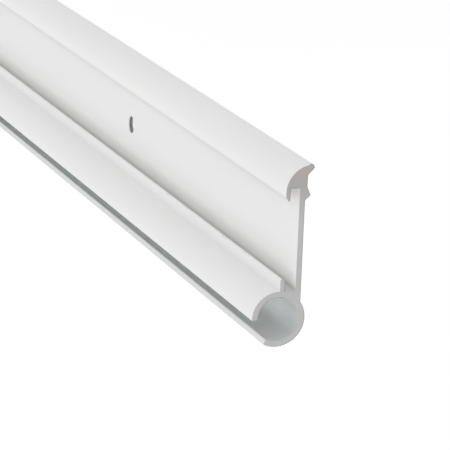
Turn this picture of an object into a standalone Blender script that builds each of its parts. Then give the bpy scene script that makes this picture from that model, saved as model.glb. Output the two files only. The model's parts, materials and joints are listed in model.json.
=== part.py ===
"""Door sweep: a painted aluminium carrier rail, the flap seal that slides in its round track,
and the cover strip that slides in the channel over its screw holes.

Frame: X runs along the rail, +Y points at the door, +Z is up. The origin is on the back face
of the web, halfway along it and level with the screw holes. Units are metres.
"""

from math import acos, asin, atan2, cos, degrees, pi, radians, sin, tan

import bmesh
import bpy
from mathutils import Euler, Vector

MM = 0.001

# Rail, along X
RAIL_LENGTH = 914.4 * MM
HOLE_COUNT = 4
HOLE_FROM_END = 123.0 * MM
HOLE_DIAMETER = 4.5 * MM

# Rail section. Each place is (y, z), measured from the centre of the round track.
TRACK_RADIUS = 6.35 * MM
BORE_RADIUS = 4.95 * MM
SLOT_TOP = 182.3  # degrees, from +Y towards +Z
SLOT_BOTTOM = 245.0  # about the centre of the flare
FLARE = 0.6 * MM  # the wall under the slot opens out by having this much more radius
FLARE_START = -40.0  # degrees
WEB_FRONT = 3.85 * MM
WEB_BACK = 5.15 * MM
HEAD_BACK = 5.58 * MM  # the back of the thicker head above the barb
HOLE_HEIGHT = 17.4 * MM
GROOVE_FLOOR = 6.2 * MM
CURB_FRONT = 0.15 * MM  # the curb is the low lip on top of the track
CURB_BACK = 1.3 * MM
CURB_TOP = 9.25 * MM
CURB_NOSE = 0.35 * MM  # the radius at the front of the curb's top
CURB_SLOPE = (0.65 * MM, 0.6 * MM)  # how far the top slopes back, across and down
HOOD_UNDERSIDE = 30.3 * MM
HOOD_RADIUS = 6.3 * MM
HOOD_CENTRE = (6.9 * MM, 29.3 * MM)
HOOD_END = 100.0  # degrees, where the round hood meets its rear bead
HOOD_LIP_BACK = 1.65 * MM
HOOD_LIP_BOTTOM = 27.35 * MM
HOOD_LIP_DRAFT = 0.1 * MM
HOOD_LIP_TOE = 0.4 * MM  # the flat under the lip
HOOD_LIP_BEVEL = 1.0 * MM
HEAD_TOP = 33.3 * MM  # where the head's back sweeps out to the rear bead
HEAD_SWEEP = 1.0 * MM
BEAD_CENTRE = (6.33 * MM, 35.05 * MM)
BEAD_RADIUS = 0.78 * MM
BEAD_START = 122.0  # degrees, and so is its end
BEAD_END = -56.0
BARB_APEX = (6.42 * MM, 28.55 * MM)
BARB_TOP = 30.5 * MM
BARB_BOTTOM = 27.4 * MM
BARB_ROUND = 0.6 * MM
EDGE_ROUND = 0.25 * MM
FINE_ROUND = 0.15 * MM

# Seal: a round bead in the track, a neck through the slot, and a tapering flap
SEAL_BEAD_RADIUS = 4.6 * MM
NECK_HEADING = 210.0  # degrees, through the middle of the slot
NECK_THICKNESS = 2.0 * MM
NECK_LENGTH = 3.2 * MM
NECK_START = 4.2 * MM
BEND_RADIUS = 5.5 * MM
BEND_END = 272.0  # degrees, the flap's heading below the bend
FLAP_LENGTH = 18.0 * MM
FLAP_CURL = 8.0  # degrees, turned back towards the door by the flap's tip
FLAP_TIP_THICKNESS = 0.9 * MM

# Cover strip: a shallow bow between the groove and the hood
COVER_THICKNESS = 1.0 * MM
COVER_BOTTOM = 6.85 * MM
COVER_TOP = 29.75 * MM
COVER_CROWN = 1.6 * MM  # y of the middle of its thickness, at mid height
COVER_EDGE = 2.85 * MM  # y of the same line at its two edges

EDGE_SHARE = 0.42  # how much of a strip's thickness each of its corners' radii takes

# Both strips rest drawn back from the near end, which leaves that end of the rail open
DRAWN_BACK = 270.0 * MM

# The origin, seen from the centre of the track
ORIGIN_Y = WEB_BACK
ORIGIN_Z = HOLE_HEIGHT

ARC_STEP = 5.0  # degrees
FINE_ARC_STEP = 20.0  # on the rear bead
COVER_ARC_STEP = 1.5
BEND_PIECES = 10
CURL_PIECES = 8
HOLE_SIDES = 32
CUTTER_DEPTH = 6.0 * MM
ALONG_X = Euler((pi / 2, 0.0, pi / 2))  # turns a flat outline's x, y and z into Y, Z and X


def clear_scene():
    for obj in list(bpy.data.objects):
        bpy.data.objects.remove(obj, do_unlink=True)


def new_collection(name, hidden=False):
    collection = bpy.data.collections.new(name)
    collection.hide_render = hidden
    bpy.context.scene.collection.children.link(collection)
    return collection


def material(name, colour, roughness, metallic=0.0):
    made = bpy.data.materials.new(name)
    made.use_nodes = True
    shader = made.node_tree.nodes["Principled BSDF"]
    shader.inputs["Base Color"].default_value = (*colour, 1.0)
    shader.inputs["Roughness"].default_value = roughness
    shader.inputs["Metallic"].default_value = metallic
    return made


def heading(angle):
    """The unit vector at this angle in degrees."""
    return Vector((cos(radians(angle)), sin(radians(angle))))


def arc(centre, radius, start, end, step=ARC_STEP):
    """Points on a circle from one angle to the other, both included."""
    count = max(1, round(abs(end - start) / step))
    turns = [start + (end - start) * i / count for i in range(count + 1)]
    return [Vector(centre) + radius * heading(turn) for turn in turns]


def corner_arc(before, corner, after, radius, pieces=3):
    """The points that round off one corner of an outline."""
    to_before = (before - corner).normalized()
    to_after = (after - corner).normalized()
    half = to_before.angle(to_after) / 2
    reach = radius / tan(half)
    centre = corner + (to_before + to_after).normalized() * radius / sin(half)
    first = corner + to_before * reach - centre
    last = corner + to_after * reach - centre
    turn = (degrees(atan2(last.y, last.x) - atan2(first.y, first.x)) + 180) % 360 - 180
    start = degrees(atan2(first.y, first.x))
    return arc(centre, radius, start, start + turn, abs(turn) / pieces)


def rounded(outline):
    """A closed outline of (point, corner radius) pairs, as plain points."""
    points = []
    for i, (corner, radius) in enumerate(outline):
        if radius:
            before = outline[i - 1][0]
            after = outline[(i + 1) % len(outline)][0]
            points += corner_arc(before, corner, after, radius)
        else:
            points.append(corner)
    return points


def plain(points):
    return [(point, 0.0) for point in points]


def corners(*places):
    """(y, z) places with their corner radii, as (point, radius) pairs."""
    return [(Vector((y, z)), radius) for y, z, radius in places]


def rail_outline():
    centre = (0.0, 0.0)
    slot_top = heading(SLOT_TOP)
    curb_angle = degrees(acos(CURB_FRONT / TRACK_RADIUS))
    back_angle = degrees(acos(WEB_BACK / TRACK_RADIUS))
    bottom = SLOT_BOTTOM - 360
    flare_centre = -FLARE * heading(FLARE_START)
    flare_out = arc(flare_centre, TRACK_RADIUS + FLARE, FLARE_START - ARC_STEP, bottom)
    flare_in = arc(flare_centre, BORE_RADIUS + FLARE, bottom, FLARE_START - ARC_STEP)
    hood_front = HOOD_CENTRE[0] - HOOD_RADIUS
    lip_back = HOOD_LIP_BACK - HOOD_LIP_DRAFT
    return rounded(
        plain(arc(centre, TRACK_RADIUS, SLOT_TOP - ARC_STEP, curb_angle))
        + corners(
            (CURB_FRONT, CURB_TOP, CURB_NOSE),
            (CURB_BACK - CURB_SLOPE[0], CURB_TOP, EDGE_ROUND),
            (CURB_BACK, CURB_TOP - CURB_SLOPE[1], EDGE_ROUND),
            (CURB_BACK, GROOVE_FLOOR, EDGE_ROUND),
            (WEB_FRONT, GROOVE_FLOOR, EDGE_ROUND),
            (WEB_FRONT, HOOD_UNDERSIDE, EDGE_ROUND),
            (HOOD_LIP_BACK, HOOD_UNDERSIDE, EDGE_ROUND),
            (lip_back, HOOD_LIP_BOTTOM, FINE_ROUND),
            (lip_back - HOOD_LIP_TOE, HOOD_LIP_BOTTOM, FINE_ROUND),
            (hood_front, HOOD_LIP_BOTTOM + HOOD_LIP_BEVEL, EDGE_ROUND),
        )
        + plain(arc(HOOD_CENTRE, HOOD_RADIUS, 180, HOOD_END))
        + plain(arc(BEAD_CENTRE, BEAD_RADIUS, BEAD_START, BEAD_END, FINE_ARC_STEP))
        + corners(
            (HEAD_BACK, HEAD_TOP, HEAD_SWEEP),
            (HEAD_BACK, BARB_TOP, BARB_ROUND),
            (*BARB_APEX, FINE_ROUND),
            (WEB_BACK, BARB_BOTTOM, FINE_ROUND),
        )
        + plain(arc(centre, TRACK_RADIUS, back_angle, FLARE_START))
        + plain(flare_out[:-1])
        + [(flare_out[-1], EDGE_ROUND), (flare_in[0], EDGE_ROUND)]
        + plain(flare_in[1:])
        + plain(arc(centre, BORE_RADIUS, FLARE_START, SLOT_TOP - ARC_STEP))
        + [(BORE_RADIUS * slot_top, EDGE_ROUND), (TRACK_RADIUS * slot_top, EDGE_ROUND)]
    )


def flap_path():
    """The flap's middle line, as (point, heading) from the bead to the tip."""
    start = NECK_START * heading(NECK_HEADING)
    bend_start = start + NECK_LENGTH * heading(NECK_HEADING)
    path = [(start, NECK_HEADING), (bend_start, NECK_HEADING)]
    for radius, turn, pieces in (
        (BEND_RADIUS, BEND_END - NECK_HEADING, BEND_PIECES),
        (FLAP_LENGTH / radians(FLAP_CURL), FLAP_CURL, CURL_PIECES),
    ):
        place, facing = path[-1]
        centre = place + radius * heading(facing + 90)
        for i in range(1, pieces + 1):
            angle = facing + turn * i / pieces
            path.append((centre - radius * heading(angle + 90), angle))
    return path


def flap_sides():
    """The two sides of the flap, each from the bead to the tip."""
    path = flap_path()
    travelled = [0.0]
    for (before, _), (after, _) in zip(path, path[1:]):
        travelled.append(travelled[-1] + (after - before).length)
    upper, lower = [], []
    for (place, facing), distance in zip(path, travelled):
        share = distance / travelled[-1]
        half = (NECK_THICKNESS + (FLAP_TIP_THICKNESS - NECK_THICKNESS) * share) / 2
        side = half * heading(facing + 90)
        upper.append(place - side)
        lower.append(place + side)
    return upper, lower


def seal_outline():
    neck_half_angle = degrees(asin(NECK_THICKNESS / 2 / SEAL_BEAD_RADIUS))
    start = NECK_HEADING + neck_half_angle
    end = NECK_HEADING - neck_half_angle + 360
    bead = arc((0.0, 0.0), SEAL_BEAD_RADIUS, start, end)
    upper, lower = flap_sides()
    tip_round = EDGE_SHARE * FLAP_TIP_THICKNESS
    return rounded(
        plain(bead + upper[1:-1])
        + [(upper[-1], tip_round), (lower[-1], tip_round)]
        + plain(lower[-2:0:-1])
    )


def cover_outline():
    half_height = (COVER_TOP - COVER_BOTTOM) / 2
    rise = COVER_EDGE - COVER_CROWN
    radius = (half_height**2 + rise**2) / (2 * rise)
    centre = (COVER_CROWN + radius, (COVER_TOP + COVER_BOTTOM) / 2)
    reach = degrees(asin(half_height / radius))
    half = COVER_THICKNESS / 2
    front = arc(centre, radius + half, 180 - reach, 180 + reach, COVER_ARC_STEP)
    back = arc(centre, radius - half, 180 + reach, 180 - reach, COVER_ARC_STEP)
    edge_round = EDGE_SHARE * COVER_THICKNESS
    return rounded(
        [(front[0], edge_round)]
        + plain(front[1:-1])
        + [(front[-1], edge_round), (back[0], edge_round)]
        + plain(back[1:-1])
        + [(back[-1], edge_round)]
    )


def extrusion(name, collection, outline, middle_x, finish):
    """A strip of this section, as long as the rail, with its middle at this x."""
    data = bpy.data.curves.new(name, "CURVE")
    data.dimensions = "2D"
    data.fill_mode = "BOTH"
    data.extrude = RAIL_LENGTH / 2
    spline = data.splines.new("POLY")
    spline.points.add(len(outline) - 1)
    for point, place in zip(spline.points, outline):
        point.co = (place[0] - ORIGIN_Y, place[1] - ORIGIN_Z, 0.0, 1.0)
    spline.use_cyclic_u = True
    data.materials.append(finish)
    obj = bpy.data.objects.new(name, data)
    obj.rotation_euler = ALONG_X
    obj.location.x = middle_x
    collection.objects.link(obj)
    return obj


def as_mesh(curve):
    """The curve's solid as a mesh object of the same name and place."""
    bpy.context.view_layer.update()
    graph = bpy.context.evaluated_depsgraph_get()
    mesh = bpy.data.meshes.new_from_object(curve.evaluated_get(graph))
    work = bmesh.new()
    work.from_mesh(mesh)
    bmesh.ops.remove_doubles(work, verts=work.verts, dist=0.001 * MM)
    bmesh.ops.recalc_face_normals(work, faces=work.faces)
    work.to_mesh(mesh)
    work.free()
    name, place = curve.name, curve.matrix_world.copy()
    collections = list(curve.users_collection)
    bpy.data.objects.remove(curve, do_unlink=True)
    obj = bpy.data.objects.new(name, mesh)
    obj.matrix_world = place
    for collection in collections:
        collection.objects.link(obj)
    return obj


def hole_places():
    """The x of each screw hole, evenly spaced between the two end ones."""
    first = RAIL_LENGTH / 2 - HOLE_FROM_END
    return [first * (1 - 2 * i / (HOLE_COUNT - 1)) for i in range(HOLE_COUNT)]


def hole_cutter(index, x, collection):
    bpy.ops.mesh.primitive_cylinder_add(
        vertices=HOLE_SIDES,
        radius=HOLE_DIAMETER / 2,
        depth=CUTTER_DEPTH,
        location=(x, 0.0, 0.0),
        rotation=(pi / 2, 0.0, 0.0),
    )
    cutter = bpy.context.object
    cutter.name = f"hole_cutter_{index}"
    cutter.hide_render = True
    cutter.display_type = "WIRE"
    for old in list(cutter.users_collection):
        old.objects.unlink(cutter)
    collection.objects.link(cutter)
    return cutter


def carrier_rail(collection, cutters):
    paint = material("white_powder_coat", (0.86, 0.86, 0.85), 0.42)
    rail = as_mesh(extrusion("carrier_rail", collection, rail_outline(), 0.0, paint))
    for index, x in enumerate(hole_places(), 1):
        cut = rail.modifiers.new(f"screw_hole_{index}", "BOOLEAN")
        cut.operation = "DIFFERENCE"
        cut.object = hole_cutter(index, x, cutters)
    return rail


def door_seal(collection):
    vinyl = material("grey_vinyl", (0.20, 0.21, 0.22), 0.55)
    return extrusion("door_seal", collection, seal_outline(), -DRAWN_BACK, vinyl)


def cover_strip(collection):
    vinyl = material("white_vinyl", (0.83, 0.83, 0.81), 0.35)
    return extrusion("cover_strip", collection, cover_outline(), -DRAWN_BACK, vinyl)


def main():
    clear_scene()
    parts = new_collection("door_sweep")
    cutters = new_collection("cutters", hidden=True)
    carrier_rail(parts, cutters)
    door_seal(parts)
    cover_strip(parts)


main()
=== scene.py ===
"""Looks for the door sweep: a white powder-coated rail, a grey vinyl seal, a white vinyl cover.

Each CAD node is replaced by a finer piece made from the node's own shape. Units are metres.
"""

import json
from math import cos, exp, pi, radians, sin

import bmesh
import bpy
from mathutils import Matrix, Vector


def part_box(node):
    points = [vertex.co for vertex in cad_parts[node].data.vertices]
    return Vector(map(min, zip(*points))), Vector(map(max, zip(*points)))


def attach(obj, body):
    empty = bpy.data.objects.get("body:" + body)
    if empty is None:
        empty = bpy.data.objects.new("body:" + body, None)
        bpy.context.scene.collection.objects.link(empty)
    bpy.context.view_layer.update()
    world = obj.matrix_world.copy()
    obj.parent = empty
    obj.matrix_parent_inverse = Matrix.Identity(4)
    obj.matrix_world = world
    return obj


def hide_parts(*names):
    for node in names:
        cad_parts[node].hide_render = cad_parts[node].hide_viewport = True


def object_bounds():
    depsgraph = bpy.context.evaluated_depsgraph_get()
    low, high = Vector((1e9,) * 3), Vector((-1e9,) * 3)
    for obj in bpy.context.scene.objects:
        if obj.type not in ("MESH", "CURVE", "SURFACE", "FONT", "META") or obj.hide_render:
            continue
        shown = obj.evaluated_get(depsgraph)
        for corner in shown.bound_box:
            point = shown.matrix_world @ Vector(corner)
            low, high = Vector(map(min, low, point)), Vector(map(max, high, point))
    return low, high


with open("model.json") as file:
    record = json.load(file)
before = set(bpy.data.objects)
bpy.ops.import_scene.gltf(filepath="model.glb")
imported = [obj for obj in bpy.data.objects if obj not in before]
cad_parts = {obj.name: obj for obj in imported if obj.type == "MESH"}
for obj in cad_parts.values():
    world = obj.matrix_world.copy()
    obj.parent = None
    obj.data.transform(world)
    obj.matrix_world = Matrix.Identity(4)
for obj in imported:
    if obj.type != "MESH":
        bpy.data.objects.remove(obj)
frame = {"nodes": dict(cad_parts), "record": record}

MM = 0.001
WELD = 0.002 * MM  # points closer than this are one point

# Camera: the direction back to it from what it looks at, its roll, its lens and its place
VIEW_AZIMUTH = 69.93  # degrees
VIEW_ELEVATION = 14.51
VIEW_ROLL = -2.317
LENS = 237.8
CAMERA_FROM_TRACK = Vector((0.60232, -0.23380, 0.18860))  # from the centre of the track's near end
CLIP_START = 0.05
CLIP_END = 100.0

# Room
FLOOR_DROP = 0.33  # below the lowest point of the sweep
FLOOR_SIZE = 30.0
FLOOR_GLOW = 0.425  # keeps the background white
FLOOR_DARK = (0.74, 0.74, 0.74)
FLOOR_LIGHT = (0.78, 0.78, 0.78)
FLOOR_CLOUDS = 3.0
WHITE = (1.0, 1.0, 1.0, 1.0)
SKY = 0.66  # the strength of its even white light
SOFTBOXES = (  # name, place, target, size and power
    ("top_softbox", (0.0, -0.5, 3.0), (0.0, 0.0, 0.0), 2.5, 15.0),
    ("front_softbox", (0.6, -2.4, 1.3), (0.4, 0.0, 0.0), 2.0, 6.0),
)

# Fine shape of the rail
CUT_EDGE = 0.07 * MM  # how far the sawn and drilled edges are broken
CUT_ANGLE = radians(60)  # an edge that the saw or the drill made turns by more than this
# the rim of painted shade along the sawn ends' edges is this wide
SHADE_RIM_WIDTH = 0.12 * MM
FILLET_WIDTH = 0.2 * MM  # a face narrower than this runs along a rounded corner
FLAT_ANGLE = radians(0.5)  # neighbouring faces that turn by less than this become one
SHARP_ANGLE = radians(38)  # shading breaks where faces turn by more than this
HOLE_REACH = 2.6 * MM  # just outside a screw hole's radius
WEB_FRONT = -1.6 * MM  # y, just in front of the web
WEB_MIDDLE = -0.65 * MM
BORE_REACH = 5.75 * MM  # from the track's centre, just into the wall round its bore
LIP_FRONT = -2.0 * MM  # from the track's centre, where the slot's lower lip lies in y and in z
LIP_TOP = -4.0 * MM

# How far a face's normal must point along a direction, from 0 to 1
SQUARE_ON = 0.99
FRONT_ON = 0.8
HALF_ON = 0.5
# how squarely the rim of painted shade must face where the blade left
SHADE_RIM_ON = 0.35
BARELY_ON = 0.3

# Fine shape of the strips
STATION_STEP = 8.0 * MM  # between sections along a strip
SEAL_STEP = 0.3 * MM  # between points round the seal's section
RIB_HEIGHT = 0.22 * MM
RIB_WIDTH = 0.3 * MM
RIB_DEPTHS = (0.52, 0.62, 0.72, 0.82)  # as shares of the seal's height, from its top
FLAP_TOP = 0.42  # the same share, where the flap starts to hang free
FLAP_WAVE = 0.35 * MM
FLAP_SWAYS = ((0.6, 0.173, 0.7), (0.4, 0.0617, 2.1))  # each sway's share, length and phase
COVER_STEP = 0.4 * MM  # between points round the cover strip's section
COVER_GROOVE_INSET = 2.6 * MM  # from each edge of the cover strip
COVER_GROOVE_WIDTH = 0.22 * MM
COVER_GROOVE_DEPTH = 0.1 * MM

cad_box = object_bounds()


def opening_centre(name):
    """The middle, in y and z, of one of the record's openings."""
    openings = frame["record"]["physics"]["openings"]
    low, high = next(o["box_m"] for o in openings if o["name"] == name)
    return Vector(((low[1] + high[1]) / 2, (low[2] + high[2]) / 2))


TRACK = opening_centre("track_bore")
RAIL_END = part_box("carrier_rail")[1].x


# ---------------------------------------------------------------- materials

# A tint multiplies the colour under it. A ramp is where a mask starts and where it is full.
# A noise scale is per metre, either one number or one for each axis.
# A relief is the height of a bump.

NOISE_RANGE = (0.3, 0.7)  # where most of a noise's values lie
PLASTIC_IOR = 1.5

PAINT_LIGHT = (0.91, 0.91, 0.905)
PAINT_SHADE = (0.885, 0.885, 0.882)
PAINT_CLOUDS = (9.0, 60.0, 60.0)
PAINT_SPECK = (0.76, 0.76, 0.75)
PAINT_SPECKS = 2600.0
SPECK_RAMP = (0.66, 0.8)
SPECK_SHARE = 0.12  # how much of the speck's colour shows
# grey for worn paint, and for painted shade on the slot's lower lip
PAINT_WORN_AND_SHADED = (0.68, 0.68, 0.67)
PAINT_RUBS_AND_SHADE = (220.0, 900.0, 900.0)
RUB_AND_SHADE_START = 0.72  # the ramp, which wear and the lip's painted shade move down
RUB_AND_SHADE_FULL = 0.86
RUB_AND_SHADE_SHARE = 0.9
PAINT_GLOSS = (0.36, 0.5)
GLOSS_CLOUDS = 420.0
PEEL = 1100.0
PEEL_RELIEF = 0.012 * MM
DIE_LINES = (6.0, 2600.0, 2600.0)
DIE_RELIEF = 0.006 * MM
EDGE_WEAR = 0.16
# painted shade: more grey on the slot's lower lip, where it faces down
LIP_SHADE = 0.4

# The groove behind the curb: painted light on the web's foot, and painted shade below it
GROOVE_FRONT_RAMP = (-4.1 * MM, -3.7 * MM)  # y, just behind the curb
GROOVE_BACK_RAMP = (-1.1 * MM, -1.2 * MM)  # y, just inside the web
PAINT_GROOVE_LIGHT = (0.985, 0.985, 0.98)
GROOVE_LIGHT_TOP_RAMP = (-4.8 * MM, -7.0 * MM)  # z
GROOVE_LIGHT_BOTTOM_RAMP = (-9.9 * MM, -9.3 * MM)
GROOVE_SHADE = (0.78, 0.78, 0.77)  # a tint, painted shade
GROOVE_SHADE_TOP_RAMP = (-9.9 * MM, -10.7 * MM)
GROOVE_SHADE_BOTTOM_RAMP = (-11.9 * MM, -11.5 * MM)
PAINT_UNDER_SHADE = (0.80, 0.80, 0.80)  # painted shade: the tint where the paint faces down
UNDER_SHADE_RAMP = (-0.1, -0.6)  # the normal's z

SAWN_METALLIC = 0.55
SAWN_LIGHT = (0.605, 0.605, 0.605)
SAWN_DARK = (0.52, 0.52, 0.52)
# painted shade: the dark rim along the edges of the sawn ends
SAWN_SHADE_RIM = (0.16, 0.16, 0.16)
SAWN_CLOUD = (0.96, 0.945, 0.935)  # a tint
SAWN_CLOUDS = 150.0
SAWN_CLOUD_RAMP = (0.45, 0.75)
SAWN_TOP_SHADE = (0.86, 0.825, 0.81)  # a brownish tint, painted shade that darkens the end towards the top
TOP_SHADE_RAMP = (5.0 * MM, 13.0 * MM)  # z
SAWN_GLOSS = (0.42, 0.62)
SAW_CENTRE = Vector((-0.09, 0.06))  # y and z of the blade's hub
SAW_LINES = 2600.0
SAW_RELIEF = 0.03 * MM

MILL_METALLIC = 0.05
MILL_LIGHT = (0.91, 0.92, 0.92)
MILL_DARK = (0.84, 0.85, 0.855)
MILL_LINES = (5.0, 1500.0, 1500.0)
MILL_RELIEF = 0.02 * MM
MILL_COOL = (0.86, 0.89, 0.89)
MILL_CLOUDS = (14.0, 90.0, 90.0)
COOL_RAMP = (0.4, 0.7)
COOL_SHARE = 0.6
MILL_GLOSS = (0.34, 0.5)
MILL_MOUTH_SHADE = (0.78, 0.78, 0.785)  # painted shade: the tint just inside the sawn ends
MOUTH_REACH = 12.0 * MM
MILL_BOTTOM_SHADE = (0.70, 0.715, 0.70)  # painted shade: the tint along the bottom of the track
BOTTOM_SHADE_START = 2.5 * MM  # below the track's centre
BOTTOM_SHADE_FULL = 4.2 * MM

HOLE_METALLIC = 0.4
HOLE_LIGHT = (0.36, 0.36, 0.36)
HOLE_DARK = (0.15, 0.15, 0.155)
HOLE_GLOSS = (0.4, 0.6)
DRILL_TURNS = (300.0, 9000.0, 300.0)
DRILL_RELIEF = 0.02 * MM
WRAP_RAMP = (0.38 * MM, 0.48 * MM)  # from the web's middle, where paint covers the hole's wall

SEAL_DARK = (0.17, 0.18, 0.19)
SEAL_LIGHT = (0.23, 0.24, 0.25)
SEAL_ROUGHNESS = 0.5
SEAL_DUST = 0.35
COVER_DARK = (0.78, 0.78, 0.76)
COVER_LIGHT = (0.83, 0.83, 0.81)
COVER_ROUGHNESS = 0.34
COVER_DUST = 0.12
VINYL_CLOUDS = (20.0, 160.0, 160.0)
VINYL_DUST = (0.55, 0.54, 0.52)
VINYL_SPECKS = 1400.0
VINYL_SPECK_RAMP = (0.6, 0.85)
VINYL_GLOSS_RANGE = (0.25, 0.75)
VINYL_SMOOTHER = 0.06  # how far the roughness falls and rises with the clouds
VINYL_ROUGHER = 0.08
VINYL_LINES = (4.0, 1800.0, 1800.0)
VINYL_LINE_RELIEF = 0.012 * MM
VINYL_GRAIN = 700.0
VINYL_GRAIN_RELIEF = 0.01 * MM


class Shader:
    """A Principled material whose nodes are added with short calls."""

    def __init__(self, name, **sockets):
        self.material = bpy.data.materials.new(name)
        self.material.use_nodes = True
        self.tree = self.material.node_tree
        self.surface = self.tree.nodes["Principled BSDF"]
        for socket, value in sockets.items():
            self.surface.inputs[socket.replace("_", " ")].default_value = value
        coordinates = self.tree.nodes.new("ShaderNodeTexCoord").outputs
        self.place = coordinates["Object"]
        self.facing = coordinates["Normal"]

    def node(self, kind, inputs=(), **settings):
        made = self.tree.nodes.new(kind)
        for name, value in settings.items():
            setattr(made, name, value)
        for key, value in dict(inputs).items():
            if isinstance(value, bpy.types.NodeSocket):
                self.tree.links.new(value, made.inputs[key])
            else:
                made.inputs[key].default_value = value
        return made

    def axis(self, vector, letter):
        """The X, Y or Z of a vector."""
        return self.node("ShaderNodeSeparateXYZ", {0: vector}).outputs[letter]

    def maths(self, operation, *values):
        return self.node("ShaderNodeMath", dict(enumerate(values)), operation=operation).outputs[0]

    def product(self, first, *others):
        """The product of two or more factors."""
        for factor in others:
            first = self.maths("MULTIPLY", first, factor)
        return first

    def noise(self, scale, detail=3.0, roughness=0.55):
        """Noise from 0 to 1, fixed to the piece."""
        scales = scale if isinstance(scale, tuple) else (scale, scale, scale)
        place = self.node("ShaderNodeMapping", {"Vector": self.place, "Scale": scales}).outputs[0]
        settings = {"Vector": place, "Scale": 1.0, "Detail": detail, "Roughness": roughness}
        return self.node("ShaderNodeTexNoise", settings).outputs["Fac"]

    def remap(self, value, low, high, to_low=0.0, to_high=1.0):
        inputs = {
            "Value": value,
            "From Min": low,
            "From Max": high,
            "To Min": to_low,
            "To Max": to_high,
        }
        return self.node("ShaderNodeMapRange", inputs).outputs["Result"]

    def mix(self, factor, first, second, blend="MIX"):
        made = self.node(
            "ShaderNodeMix", {"Factor": factor}, data_type="RGBA", blend_type=blend
        )
        for index, colour in ((6, first), (7, second)):  # the mix node's two colour sockets
            if isinstance(colour, bpy.types.NodeSocket):
                self.tree.links.new(colour, made.inputs[index])
            else:
                made.inputs[index].default_value = (*colour, 1.0)
        return made.outputs[2]

    def tint(self, factor, tone, colour):
        """The tone times a colour, as far as the factor says."""
        return self.mix(factor, tone, colour, "MULTIPLY")

    def bump(self, height, distance, strength, normal=None):
        inputs = {"Height": height, "Distance": distance, "Strength": strength}
        if normal is not None:
            inputs["Normal"] = normal
        return self.node("ShaderNodeBump", inputs).outputs["Normal"]

    def wire(self, **sockets):
        """Links outputs to the surface's sockets."""
        for name, output in sockets.items():
            self.tree.links.new(output, self.surface.inputs[name.replace("_", " ")])
        return self.material


def powder_coat(name, wear_and_shade):
    """White powder coat: a fine orange peel over faint die lines. Wear, and painted shade on the
    slot's lower lip, thin it towards grey. It also paints light and shade in the groove behind the
    curb, and shade where it faces down.
    """
    shader = Shader(name, IOR=PLASTIC_IOR)
    clouds = shader.noise(PAINT_CLOUDS, detail=4.0)
    specks = shader.noise(PAINT_SPECKS, detail=2.0)
    rubs_and_shade = shader.noise(PAINT_RUBS_AND_SHADE, detail=5.0, roughness=0.65)
    tone = shader.mix(shader.remap(clouds, *NOISE_RANGE), PAINT_SHADE, PAINT_LIGHT)
    tone = shader.mix(shader.remap(specks, *SPECK_RAMP, to_high=SPECK_SHARE), tone, PAINT_SPECK)
    # wear, and painted shade on the slot's lower lip
    worn_and_shaded = shader.remap(rubs_and_shade, RUB_AND_SHADE_START - wear_and_shade, RUB_AND_SHADE_FULL - wear_and_shade, to_high=RUB_AND_SHADE_SHARE)
    tone = shader.mix(worn_and_shaded, tone, PAINT_WORN_AND_SHADED)

    y, z = shader.axis(shader.place, "Y"), shader.axis(shader.place, "Z")
    in_groove = shader.product(
        shader.remap(y, *GROOVE_FRONT_RAMP), shader.remap(y, *GROOVE_BACK_RAMP)
    )
    # painted light on the web's foot, against the groove's shade
    groove_light = shader.product(
        in_groove, shader.remap(z, *GROOVE_LIGHT_TOP_RAMP), shader.remap(z, *GROOVE_LIGHT_BOTTOM_RAMP)
    )
    tone = shader.mix(groove_light, tone, PAINT_GROOVE_LIGHT)
    # painted shade low in the groove
    groove_shade = shader.product(
        in_groove, shader.remap(z, *GROOVE_SHADE_TOP_RAMP), shader.remap(z, *GROOVE_SHADE_BOTTOM_RAMP)
    )
    tone = shader.tint(groove_shade, tone, GROOVE_SHADE)
    # painted shade on faces that look down
    under = shader.remap(shader.axis(shader.facing, "Z"), *UNDER_SHADE_RAMP)
    tone = shader.tint(under, tone, PAINT_UNDER_SHADE)

    peel = shader.noise(PEEL, detail=2.0, roughness=0.5)
    lines = shader.noise(DIE_LINES, detail=2.0, roughness=0.6)
    normal = shader.bump(peel, PEEL_RELIEF, strength=0.6)
    normal = shader.bump(lines, DIE_RELIEF, strength=0.5, normal=normal)
    gloss = shader.remap(shader.noise(GLOSS_CLOUDS), *NOISE_RANGE, *PAINT_GLOSS)
    return shader.wire(Base_Color=tone, Roughness=gloss, Normal=normal)


def sawn_aluminium(name, dark, light):
    """Bare metal at the rail's cut ends, with the shallow arcs that a saw blade leaves, and
    painted shade towards the top.
    """
    shader = Shader(name, Metallic=SAWN_METALLIC)
    hub = Vector((0.0, *SAW_CENTRE))
    from_hub = shader.node("ShaderNodeVectorMath", {0: shader.place, 1: hub}, operation="SUBTRACT")
    sides = {letter: shader.axis(from_hub.outputs[0], letter) for letter in "YZ"}
    flat = shader.node("ShaderNodeCombineXYZ", sides).outputs[0]
    radius = shader.node("ShaderNodeVectorMath", {0: flat}, operation="LENGTH").outputs["Value"]
    rings = shader.node("ShaderNodeCombineXYZ", {"X": radius}).outputs[0]
    settings = {"Vector": rings, "Scale": SAW_LINES, "Detail": 4.0, "Roughness": 0.7}
    arcs = shader.node("ShaderNodeTexNoise", settings).outputs["Fac"]
    tone = shader.mix(shader.remap(arcs, *NOISE_RANGE), dark, light)
    cloud = shader.remap(shader.noise(SAWN_CLOUDS), *SAWN_CLOUD_RAMP)
    tone = shader.tint(cloud, tone, SAWN_CLOUD)
    # painted shade: darker and browner towards the top
    top_shade = shader.remap(shader.axis(shader.place, "Z"), *TOP_SHADE_RAMP)
    tone = shader.tint(top_shade, tone, SAWN_TOP_SHADE)
    gloss = shader.remap(arcs, *NOISE_RANGE, *SAWN_GLOSS)
    normal = shader.bump(arcs, SAW_RELIEF, strength=0.7)
    return shader.wire(Base_Color=tone, Roughness=gloss, Normal=normal)


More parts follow.
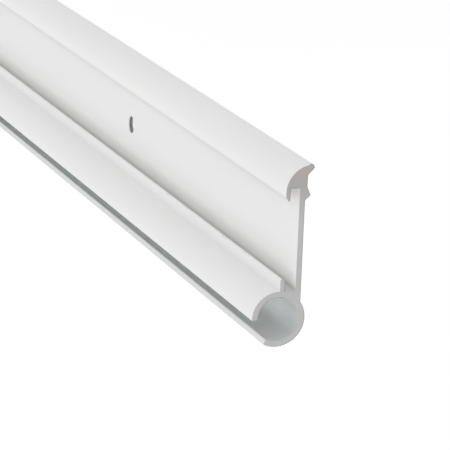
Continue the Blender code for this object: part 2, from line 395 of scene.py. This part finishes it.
def mill_finish():
    """The unpainted inside of the track: drawn lines, a thin cool oxide, and painted shade just
    inside the sawn ends and along the bottom.
    """
    shader = Shader("mill_finish_aluminium", Metallic=MILL_METALLIC)
    lines = shader.noise(MILL_LINES, detail=4.0, roughness=0.7)
    clouds = shader.noise(MILL_CLOUDS)
    tone = shader.mix(shader.remap(lines, *NOISE_RANGE), MILL_DARK, MILL_LIGHT)
    tone = shader.mix(shader.remap(clouds, *COOL_RAMP, to_high=COOL_SHARE), tone, MILL_COOL)
    along = shader.maths("ABSOLUTE", shader.axis(shader.place, "X"))
    # painted shade just inside the sawn ends
    mouth = shader.remap(along, RAIL_END - MOUTH_REACH, RAIL_END)
    tone = shader.tint(mouth, tone, MILL_MOUTH_SHADE)
    # painted shade along the bottom of the track, away from the ends
    height = shader.axis(shader.place, "Z")
    low = shader.remap(height, TRACK.y - BOTTOM_SHADE_START, TRACK.y - BOTTOM_SHADE_FULL)
    inner = shader.remap(mouth, 0.0, 1.0, to_low=1.0, to_high=0.0)
    tone = shader.tint(shader.product(low, inner), tone, MILL_BOTTOM_SHADE)
    gloss = shader.remap(clouds, *NOISE_RANGE, *MILL_GLOSS)
    normal = shader.bump(lines, MILL_RELIEF, strength=0.6)
    return shader.wire(Base_Color=tone, Roughness=gloss, Normal=normal)


def drilled_metal():
    """The wall of a screw hole: the drill's turns, a dark colour, and paint over both rims."""
    shader = Shader("drilled_metal", Metallic=HOLE_METALLIC)
    turns = shader.noise(DRILL_TURNS, detail=2.0)
    tone = shader.mix(shader.remap(turns, *NOISE_RANGE), HOLE_DARK, HOLE_LIGHT)
    from_middle = shader.maths("SUBTRACT", shader.axis(shader.place, "Y"), WEB_MIDDLE)
    wrap = shader.remap(shader.maths("ABSOLUTE", from_middle), *WRAP_RAMP)
    tone = shader.mix(wrap, tone, PAINT_LIGHT)
    gloss = shader.remap(turns, *NOISE_RANGE, *HOLE_GLOSS)
    normal = shader.bump(turns, DRILL_RELIEF, strength=0.8)
    return shader.wire(Base_Color=tone, Roughness=gloss, Normal=normal)


def vinyl(name, dark, light, roughness, dust):
    """Extruded vinyl: fine lines along it, cloudy colour and a little dust."""
    shader = Shader(name, IOR=PLASTIC_IOR)
    clouds = shader.noise(VINYL_CLOUDS, detail=4.0)
    specks = shader.noise(VINYL_SPECKS, roughness=0.7)
    tone = shader.mix(shader.remap(clouds, *NOISE_RANGE), dark, light)
    tone = shader.mix(shader.remap(specks, *VINYL_SPECK_RAMP, to_high=dust), tone, VINYL_DUST)
    gloss_range = (roughness - VINYL_SMOOTHER, roughness + VINYL_ROUGHER)
    gloss = shader.remap(clouds, *VINYL_GLOSS_RANGE, *gloss_range)
    lines = shader.noise(VINYL_LINES, roughness=0.65)
    normal = shader.bump(lines, VINYL_LINE_RELIEF, strength=0.6)
    grain = shader.noise(VINYL_GRAIN)
    normal = shader.bump(grain, VINYL_GRAIN_RELIEF, strength=0.5, normal=normal)
    return shader.wire(Base_Color=tone, Roughness=gloss, Normal=normal)


# ---------------------------------------------------------------- pieces

# The rail's material slots, in order; the last two carry painted shade
PAINT, EDGE, SAWN, BORE, HOLE, SHADE_RIM, LIP = range(7)


def link_piece(name, mesh, body, node):
    """Puts a piece in the scene in place of a CAD node."""
    piece = bpy.data.objects.new(name, mesh)
    bpy.context.scene.collection.objects.link(piece)
    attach(piece, body)
    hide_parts(node)
    return piece


def smooth_with_sharp_edges(mesh):
    """Smooth shading that breaks at sharp edges."""
    mesh.shade_smooth()
    mesh.set_sharp_from_angle(angle=SHARP_ANGLE)


def weight_normals(piece):
    """Keeps the shading flat on wide faces."""
    weighted = piece.modifiers.new("weighted_normals", "WEIGHTED_NORMAL")
    weighted.mode = "FACE_AREA"
    weighted.weight = 80
    weighted.keep_sharp = True


def in_section(vector):
    """The y and z of a vector."""
    return Vector((vector.y, vector.z))


def width_across(face):
    """The width, across the rail, of a face that runs along it. A short face gives its length."""
    along = [v.co.x for v in face.verts]
    length = max(along) - min(along)
    return face.calc_area() / length if length > MM else length


def rail_finish(face):
    """The material slot of one face of the rail."""
    # the rim of painted shade keeps its slot
    if face.material_index == SHADE_RIM:
        return SHADE_RIM
    centre = face.calc_center_median()
    from_track = in_section(centre) - TRACK
    if abs(centre.x) > RAIL_END - 2 * CUT_EDGE and abs(face.normal.x) > BARELY_ON:
        return SAWN
    inward = -from_track.normalized().dot(in_section(face.normal))
    if from_track.length < BORE_REACH and inward > HALF_ON:
        return BORE
    if abs(face.normal.y) < BARELY_ON and abs(centre.z) < HOLE_REACH and centre.y > WEB_FRONT:
        return HOLE
    if width_across(face) > FILLET_WIDTH:
        return PAINT
    # the slot's lower lip gets painted shade
    return LIP if from_track.x < LIP_FRONT and from_track.y < LIP_TOP else EDGE


def mark_shade_rim(work):
    """Splits a rim off each sawn end and paints shade on it, as a burr's shadow, on the sides that
    face where the blade left the metal.
    """
    ends = [face for face in work.faces if abs(face.normal.x) > SQUARE_ON]
    leaving = -SAW_CENTRE.normalized()
    inset = bmesh.ops.inset_region(work, faces=ends, thickness=SHADE_RIM_WIDTH, use_even_offset=True)
    for rim in inset["faces"]:
        middle = rim.calc_center_median()
        for side in (face for edge in rim.edges for face in edge.link_faces):
            runs_along = (side.calc_center_median() - middle).length > RAIL_END / 2
            if runs_along and in_section(side.normal).dot(leaving) > SHADE_RIM_ON:
                rim.material_index = SHADE_RIM


def is_cut(edge):
    """Whether the saw or the drill made this edge of the rail."""
    if edge.calc_face_angle(0.0) <= CUT_ANGLE:
        return False
    first, second = (v.co for v in edge.verts)
    at_end = [abs(point.x) > RAIL_END - WELD for point in (first, second)]
    in_hole = [abs(point.z) < HOLE_REACH for point in (first, second)]
    round_hole = all(in_hole) and abs(first.y - second.y) < WELD and not any(at_end)
    return all(at_end) or round_hole


def rail_extrusion():
    """The rail with its flat faces whole, its cut edges broken, and a finish for each face."""
    work = bmesh.new()
    work.from_mesh(frame["nodes"]["carrier_rail"].data)
    bmesh.ops.remove_doubles(work, verts=work.verts, dist=WELD)
    bmesh.ops.dissolve_limit(work, angle_limit=FLAT_ANGLE, verts=work.verts, edges=work.edges)
    # the rim of painted shade on the sawn ends
    mark_shade_rim(work)
    bmesh.ops.bevel(
        work,
        geom=[edge for edge in work.edges if is_cut(edge)],
        offset=CUT_EDGE,
        segments=2,
        profile=0.5,
        affect="EDGES",
        clamp_overlap=True,
    )
    work.normal_update()
    for face in work.faces:
        face.material_index = rail_finish(face)
    mesh = bpy.data.meshes.new("rail_extrusion")
    work.to_mesh(mesh)
    work.free()
    smooth_with_sharp_edges(mesh)
    finishes = {
        PAINT: powder_coat("powder_coat", 0.0),
        EDGE: powder_coat("powder_coat_edge", EDGE_WEAR),
        SAWN: sawn_aluminium("sawn_aluminium", SAWN_DARK, SAWN_LIGHT),
        BORE: mill_finish(),
        HOLE: drilled_metal(),
        # dark painted shade on the sawn ends' rims
        SHADE_RIM: sawn_aluminium("sawn_shade_rim", SAWN_SHADE_RIM, SAWN_SHADE_RIM),
        # painted shade on the slot's lower lip, as extra grey
        LIP: powder_coat("powder_coat_lip_shade", LIP_SHADE),
    }
    for slot in sorted(finishes):
        mesh.materials.append(finishes[slot])
    weight_normals(
        link_piece("rail_extrusion", mesh, "rail", "carrier_rail")
    )


def section_of(node):
    """The outline of a straight CAD strip as (y, z) points in order, read from its +X end."""
    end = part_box(node)[1].x
    work = bmesh.new()
    work.from_mesh(frame["nodes"][node].data)
    bmesh.ops.remove_doubles(work, verts=work.verts, dist=WELD)
    rim = {}
    for edge in work.edges:
        caps = [all(abs(v.co.x - end) < WELD for v in face.verts) for face in edge.link_faces]
        if sum(caps) == 1 and all(abs(v.co.x - end) < WELD for v in edge.verts):
            first, second = edge.verts
            rim.setdefault(first, []).append(second)
            rim.setdefault(second, []).append(first)
    start = next(iter(rim))
    loop = [start, rim[start][0]]
    while loop[-1] is not start:
        last, before = loop[-1], loop[-2]
        loop.append(next(v for v in rim[last] if v is not before))
    outline = [in_section(v.co) for v in loop[:-1]]
    work.free()
    doubled_area = sum(a.cross(b) for a, b in zip(outline, outline[1:] + outline[:1]))
    return outline if doubled_area > 0 else outline[::-1]


def resampled(outline, step):
    """The same outline with extra points on its long sides."""
    points = []
    for first, second in zip(outline, outline[1:] + outline[:1]):
        count = max(1, round((second - first).length / step))
        points += [first.lerp(second, i / count) for i in range(count)]
    return points


def outward(outline):
    """Each point's outward unit normal, for an outline that runs anticlockwise."""
    normals = []
    for i in range(len(outline)):
        along = outline[(i + 1) % len(outline)] - outline[i - 1]
        normals.append(Vector((along.y, -along.x)).normalized())
    return normals


def raised_front(outline, rise):
    """The outline with its front moved out by rise(point)."""
    return [
        point + normal * (rise(point) if normal.x < -FRONT_ON else 0.0)
        for point, normal in zip(outline, outward(outline))
    ]


def hump(distance, width):
    return exp(-((distance / width) ** 2))


def straight(x, point):
    """The shift of a strip that isn't bent."""
    return 0.0


def strip(name, node, outline, shift):
    """A mesh through copies of an outline. shift(x, point) says how far a point moves in y."""
    low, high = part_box(node)
    length = high.x - low.x
    stations = round(length / STATION_STEP)
    normals = outward(outline)
    rows = [(low.x, CUT_EDGE), (low.x + CUT_EDGE, 0.0)]
    rows += [(low.x + length * i / stations, 0.0) for i in range(1, stations)]
    rows += [(high.x - CUT_EDGE, 0.0), (high.x, CUT_EDGE)]
    work = bmesh.new()
    rings = []
    for x, inset in rows:
        ring = []
        for point, normal in zip(outline, normals):
            at = point - normal * inset
            ring.append(work.verts.new((x, at.x + shift(x, point), at.y)))
        rings.append(ring)
    for first, second in zip(rings, rings[1:]):
        for i in range(len(outline)):
            j = (i + 1) % len(outline)
            work.faces.new((first[i], second[i], second[j], first[j]))
    work.faces.new(rings[0])
    work.faces.new(rings[-1][::-1])
    bmesh.ops.recalc_face_normals(work, faces=work.faces)
    mesh = bpy.data.meshes.new(name)
    work.to_mesh(mesh)
    work.free()
    smooth_with_sharp_edges(mesh)
    return mesh


def flap_seal():
    """The seal, with ribs along the front of its flap and a slightly wavy free edge."""
    low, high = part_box("door_seal")
    height = high.z - low.z

    def ribs(point):
        depth = (high.z - point.y) / height
        return sum(RIB_HEIGHT * hump((depth - share) * height, RIB_WIDTH) for share in RIB_DEPTHS)

    def wave(x, point):
        hang = max(0.0, (high.z - point.y) / height - FLAP_TOP) / (1 - FLAP_TOP)
        sways = (share * sin(2 * pi * x / length + phase) for share, length, phase in FLAP_SWAYS)
        return FLAP_WAVE * hang**2 * sum(sways)

    outline = resampled(section_of("door_seal"), SEAL_STEP)
    mesh = strip("flap_seal", "door_seal", raised_front(outline, ribs), wave)
    mesh.materials.append(vinyl("grey_vinyl", SEAL_DARK, SEAL_LIGHT, SEAL_ROUGHNESS, SEAL_DUST))
    link_piece("flap_seal", mesh, "seal", "door_seal")


def cover_insert():
    """The cover strip, with a fine groove along each side of its front."""
    low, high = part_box("cover_strip")

    def grooves(point):
        inset = min(point.y - low.z, high.z - point.y)
        return -COVER_GROOVE_DEPTH * hump(inset - COVER_GROOVE_INSET, COVER_GROOVE_WIDTH)

    outline = resampled(section_of("cover_strip"), COVER_STEP)
    mesh = strip("cover_insert", "cover_strip", raised_front(outline, grooves), straight)
    mesh.materials.append(
        vinyl("white_vinyl", COVER_DARK, COVER_LIGHT, COVER_ROUGHNESS, COVER_DUST)
    )
    link_piece("cover_insert", mesh, "cover", "cover_strip")


# ---------------------------------------------------------------- room, light and camera


def floor():
    """A pale floor that glows a little."""
    low, _ = cad_box
    bpy.ops.mesh.primitive_plane_add(size=FLOOR_SIZE, location=(0.0, 0.0, low.z - FLOOR_DROP))
    plane = bpy.context.object
    plane.name = "floor"
    shader = Shader("pale_floor", Roughness=0.9)
    tone = shader.mix(shader.noise(FLOOR_CLOUDS), FLOOR_DARK, FLOOR_LIGHT)
    shader.surface.inputs["Emission Color"].default_value = WHITE
    shader.surface.inputs["Emission Strength"].default_value = FLOOR_GLOW
    plane.data.materials.append(shader.wire(Base_Color=tone))


def sky():
    world = bpy.data.worlds.new("studio")
    world.use_nodes = True
    background = world.node_tree.nodes["Background"]
    background.inputs["Color"].default_value = WHITE
    background.inputs["Strength"].default_value = SKY
    bpy.context.scene.world = world


def softbox(name, place, target, size, power):
    data = bpy.data.lights.new(name, "AREA")
    data.shape = "SQUARE"
    data.size = size
    data.energy = power
    light = bpy.data.objects.new(name, data)
    light.location = place
    aim = Vector(target) - Vector(place)
    light.rotation_euler = aim.to_track_quat("-Z", "Y").to_euler()
    bpy.context.scene.collection.objects.link(light)


def camera():
    """The photo's camera."""
    data = bpy.data.cameras.new("camera")
    data.lens = LENS
    data.clip_start = CLIP_START
    data.clip_end = CLIP_END
    made = bpy.data.objects.new("camera", data)
    azimuth, elevation = radians(VIEW_AZIMUTH), radians(VIEW_ELEVATION)
    level = cos(elevation)
    back = Vector((sin(azimuth) * level, -cos(azimuth) * level, sin(elevation)))
    upright = (-back).to_track_quat("-Z", "Y")
    roll = Matrix.Rotation(radians(VIEW_ROLL), 4, -back).to_quaternion()
    made.rotation_mode = "QUATERNION"
    made.rotation_quaternion = roll @ upright
    made.location = Vector((RAIL_END, TRACK.x, TRACK.y)) + CAMERA_FROM_TRACK
    bpy.context.scene.collection.objects.link(made)
    bpy.context.scene.camera = made


rail_extrusion()
flap_seal()
cover_insert()
floor()
sky()
for box in SOFTBOXES:
    softbox(*box)
camera()
bpy.context.scene.view_settings.view_transform = "Standard"
